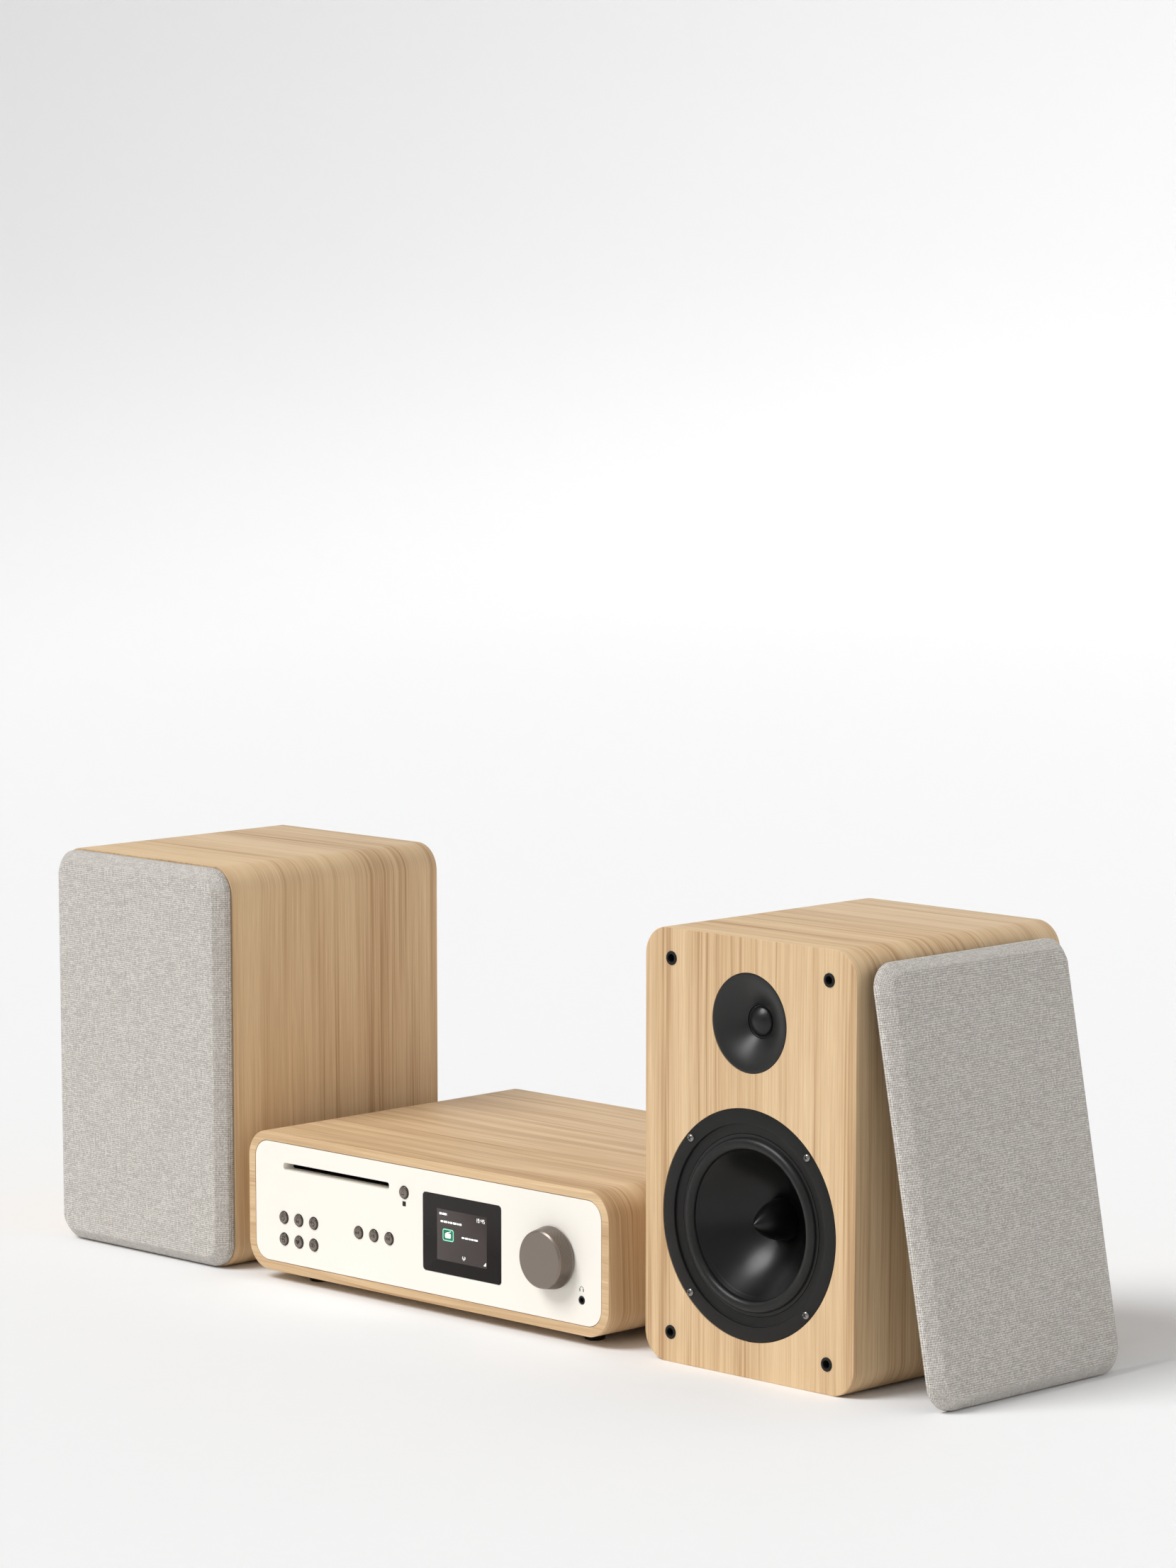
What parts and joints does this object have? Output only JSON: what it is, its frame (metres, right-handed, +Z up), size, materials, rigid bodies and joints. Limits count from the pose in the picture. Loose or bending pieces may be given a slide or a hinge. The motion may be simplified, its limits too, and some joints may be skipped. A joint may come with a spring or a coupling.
{
  "type": "mini hifi system",
  "caption": "Wood-veneered amplifier and disc player with a cream panel, and two bookshelf speakers with cloth grilles, one grille off and leaning.",
  "frame": {"origin": "middle of the whole set's footprint, on the surface that it stands on", "axes": "+X to the listener's right, -Y out of the fronts, +Z up"},
  "size_m": [0.978, 0.3134, 0.3334],
  "materials": {
    "veneer": "satin light oak veneer with long brown grain",
    "cream_panel": "satin cream",
    "taupe_metal": "brushed taupe anodised metal",
    "smoked_acrylic": "glossy near-black window",
    "display": "dark display module",
    "circuit_board": "green solder mask",
    "drive_casing": "dark casing",
    "black_plastic": "satin black",
    "black_steel": "fine black powder coat",
    "bright_metal": "bright plated metal",
    "rubber": "matt black rubber",
    "driver_black": "satin black",
    "horn_black": "satin black",
    "cone_black": "smooth satin black",
    "silk": "fine coated black silk",
    "grille_board": "matt black board",
    "grille_cloth": "heathered light grey woven cloth"
  },
  "bodies": {
    "main_unit": {"cabinet_sleeve": "veneer", "front_panel": "cream_panel", "display_window": "smoked_acrylic", "display_module": "display", "front_board": "circuit_board", "headphone_socket": "black_plastic", "disc_drive": "drive_casing", "chassis": "black_steel", "main_board": "circuit_board", "power_supply": "circuit_board", "mains_inlet": "black_plastic", "aerial_socket": "bright_metal", "speaker_terminals": "black_plastic", "foot_front_left": "rubber", "foot_front_right": "rubber", "foot_rear_left": "rubber", "foot_rear_right": "rubber"},
    "volume_shaft": {"volume_shaft": "bright_metal"},
    "volume_knob": {"volume_knob": "taupe_metal"},
    "disc_turntable": {"disc_turntable": "black_plastic"},
    "button_standby": {"button_standby": "taupe_metal"},
    "button_home": {"button_home": "taupe_metal"},
    "button_back": {"button_back": "taupe_metal"},
    "button_source": {"button_source": "taupe_metal"},
    "button_favourite": {"button_favourite": "taupe_metal"},
    "button_pair": {"button_pair": "taupe_metal"},
    "button_previous": {"button_previous": "taupe_metal"},
    "button_play_pause": {"button_play_pause": "taupe_metal"},
    "button_next": {"button_next": "taupe_metal"},
    "button_eject": {"button_eject": "taupe_metal"},
    "left_speaker": {"left_speaker_cabinet": "veneer", "left_baffle": "veneer", "left_terminal_cup": "black_plastic", "left_woofer_frame": "driver_black", "left_woofer_surround": "rubber", "left_phase_plug": "cone_black", "left_tweeter_horn": "horn_black", "left_socket_upper_left": "rubber", "left_socket_upper_right": "rubber", "left_socket_lower_left": "rubber", "left_socket_lower_right": "rubber"},
    "left_woofer_cone": {"left_woofer_cone": "cone_black"},
    "left_tweeter_dome": {"left_tweeter_dome": "silk"},
    "left_grille": {"left_grille_frame": "grille_board", "left_grille_cloth": "grille_cloth"},
    "right_speaker": {"right_speaker_cabinet": "veneer", "right_baffle": "veneer", "right_terminal_cup": "black_plastic", "right_woofer_frame": "driver_black", "right_woofer_surround": "rubber", "right_phase_plug": "cone_black", "right_tweeter_horn": "horn_black", "right_socket_upper_left": "rubber", "right_socket_upper_right": "rubber", "right_socket_lower_left": "rubber", "right_socket_lower_right": "rubber"},
    "right_woofer_cone": {"right_woofer_cone": "cone_black"},
    "right_tweeter_dome": {"right_tweeter_dome": "silk"},
    "right_grille": {"right_grille_frame": "grille_board", "right_grille_cloth": "grille_cloth"}
  },
  "joints": [
    {"name": "left_speaker_place", "type": "slide", "parent": "main_unit", "child": "left_speaker", "axis": [-1, 0, 0], "range_m": [0, 0.15]},
    {"name": "right_speaker_place", "type": "slide", "parent": "main_unit", "child": "right_speaker", "axis": [1, 0, 0], "range_m": [0, 0.15]},
    {"name": "left_grille_pull", "type": "slide", "parent": "left_speaker", "child": "left_grille", "axis": [0, -1, 0], "range_m": [0, 0.06]},
    {"name": "right_grille_place", "type": "slide", "parent": "right_speaker", "child": "right_grille", "axis": [1, 0, 0], "range_m": [0, 0.08]},
    {"name": "volume_push", "type": "slide", "parent": "main_unit", "child": "volume_shaft", "axis": [0, 1, 0], "range_m": [0, 0.0008], "stiffness_N_per_m": 2000},
    {"name": "volume_turn", "type": "hinge", "parent": "volume_shaft", "child": "volume_knob", "pos_m": [0.10167, -0.14965, 0.0655], "axis": [0, 1, 0], "continuous": true},
    {"name": "disc_spin", "type": "hinge", "parent": "main_unit", "child": "disc_turntable", "pos_m": [-0.14643, -0.06265, 0.0873], "axis": [0, 0, 1], "continuous": true},
    {"name": "press_standby", "type": "slide", "parent": "main_unit", "child": "button_standby", "axis": [0, 1, 0], "range_m": [0, 0.0008], "stiffness_N_per_m": 800},
    {"name": "press_home", "type": "slide", "parent": "main_unit", "child": "button_home", "axis": [0, 1, 0], "range_m": [0, 0.0008], "stiffness_N_per_m": 800},
    {"name": "press_back", "type": "slide", "parent": "main_unit", "child": "button_back", "axis": [0, 1, 0], "range_m": [0, 0.0008], "stiffness_N_per_m": 800},
    {"name": "press_source", "type": "slide", "parent": "main_unit", "child": "button_source", "axis": [0, 1, 0], "range_m": [0, 0.0008], "stiffness_N_per_m": 800},
    {"name": "press_favourite", "type": "slide", "parent": "main_unit", "child": "button_favourite", "axis": [0, 1, 0], "range_m": [0, 0.0008], "stiffness_N_per_m": 800},
    {"name": "press_pair", "type": "slide", "parent": "main_unit", "child": "button_pair", "axis": [0, 1, 0], "range_m": [0, 0.0008], "stiffness_N_per_m": 800},
    {"name": "press_previous", "type": "slide", "parent": "main_unit", "child": "button_previous", "axis": [0, 1, 0], "range_m": [0, 0.0008], "stiffness_N_per_m": 800},
    {"name": "press_play_pause", "type": "slide", "parent": "main_unit", "child": "button_play_pause", "axis": [0, 1, 0], "range_m": [0, 0.0008], "stiffness_N_per_m": 800},
    {"name": "press_next", "type": "slide", "parent": "main_unit", "child": "button_next", "axis": [0, 1, 0], "range_m": [0, 0.0008], "stiffness_N_per_m": 800},
    {"name": "press_eject", "type": "slide", "parent": "main_unit", "child": "button_eject", "axis": [0, 1, 0], "range_m": [0, 0.0008], "stiffness_N_per_m": 800},
    {"name": "left_woofer_travel", "type": "slide", "parent": "left_speaker", "child": "left_woofer_cone", "axis": [0, -1, 0], "range_m": [-0.003, 0.003], "stiffness_N_per_m": 1500, "deforming": ["left_woofer_surround"]},
    {"name": "left_tweeter_travel", "type": "slide", "parent": "left_speaker", "child": "left_tweeter_dome", "axis": [0, -1, 0], "range_m": [-0.0003, 0.0003], "stiffness_N_per_m": 1000},
    {"name": "right_woofer_travel", "type": "slide", "parent": "right_speaker", "child": "right_woofer_cone", "axis": [0, -1, 0], "range_m": [-0.003, 0.003], "stiffness_N_per_m": 1500, "deforming": ["right_woofer_surround"]},
    {"name": "right_tweeter_travel", "type": "slide", "parent": "right_speaker", "child": "right_tweeter_dome", "axis": [0, -1, 0], "range_m": [-0.0003, 0.0003], "stiffness_N_per_m": 1000}
  ]
}
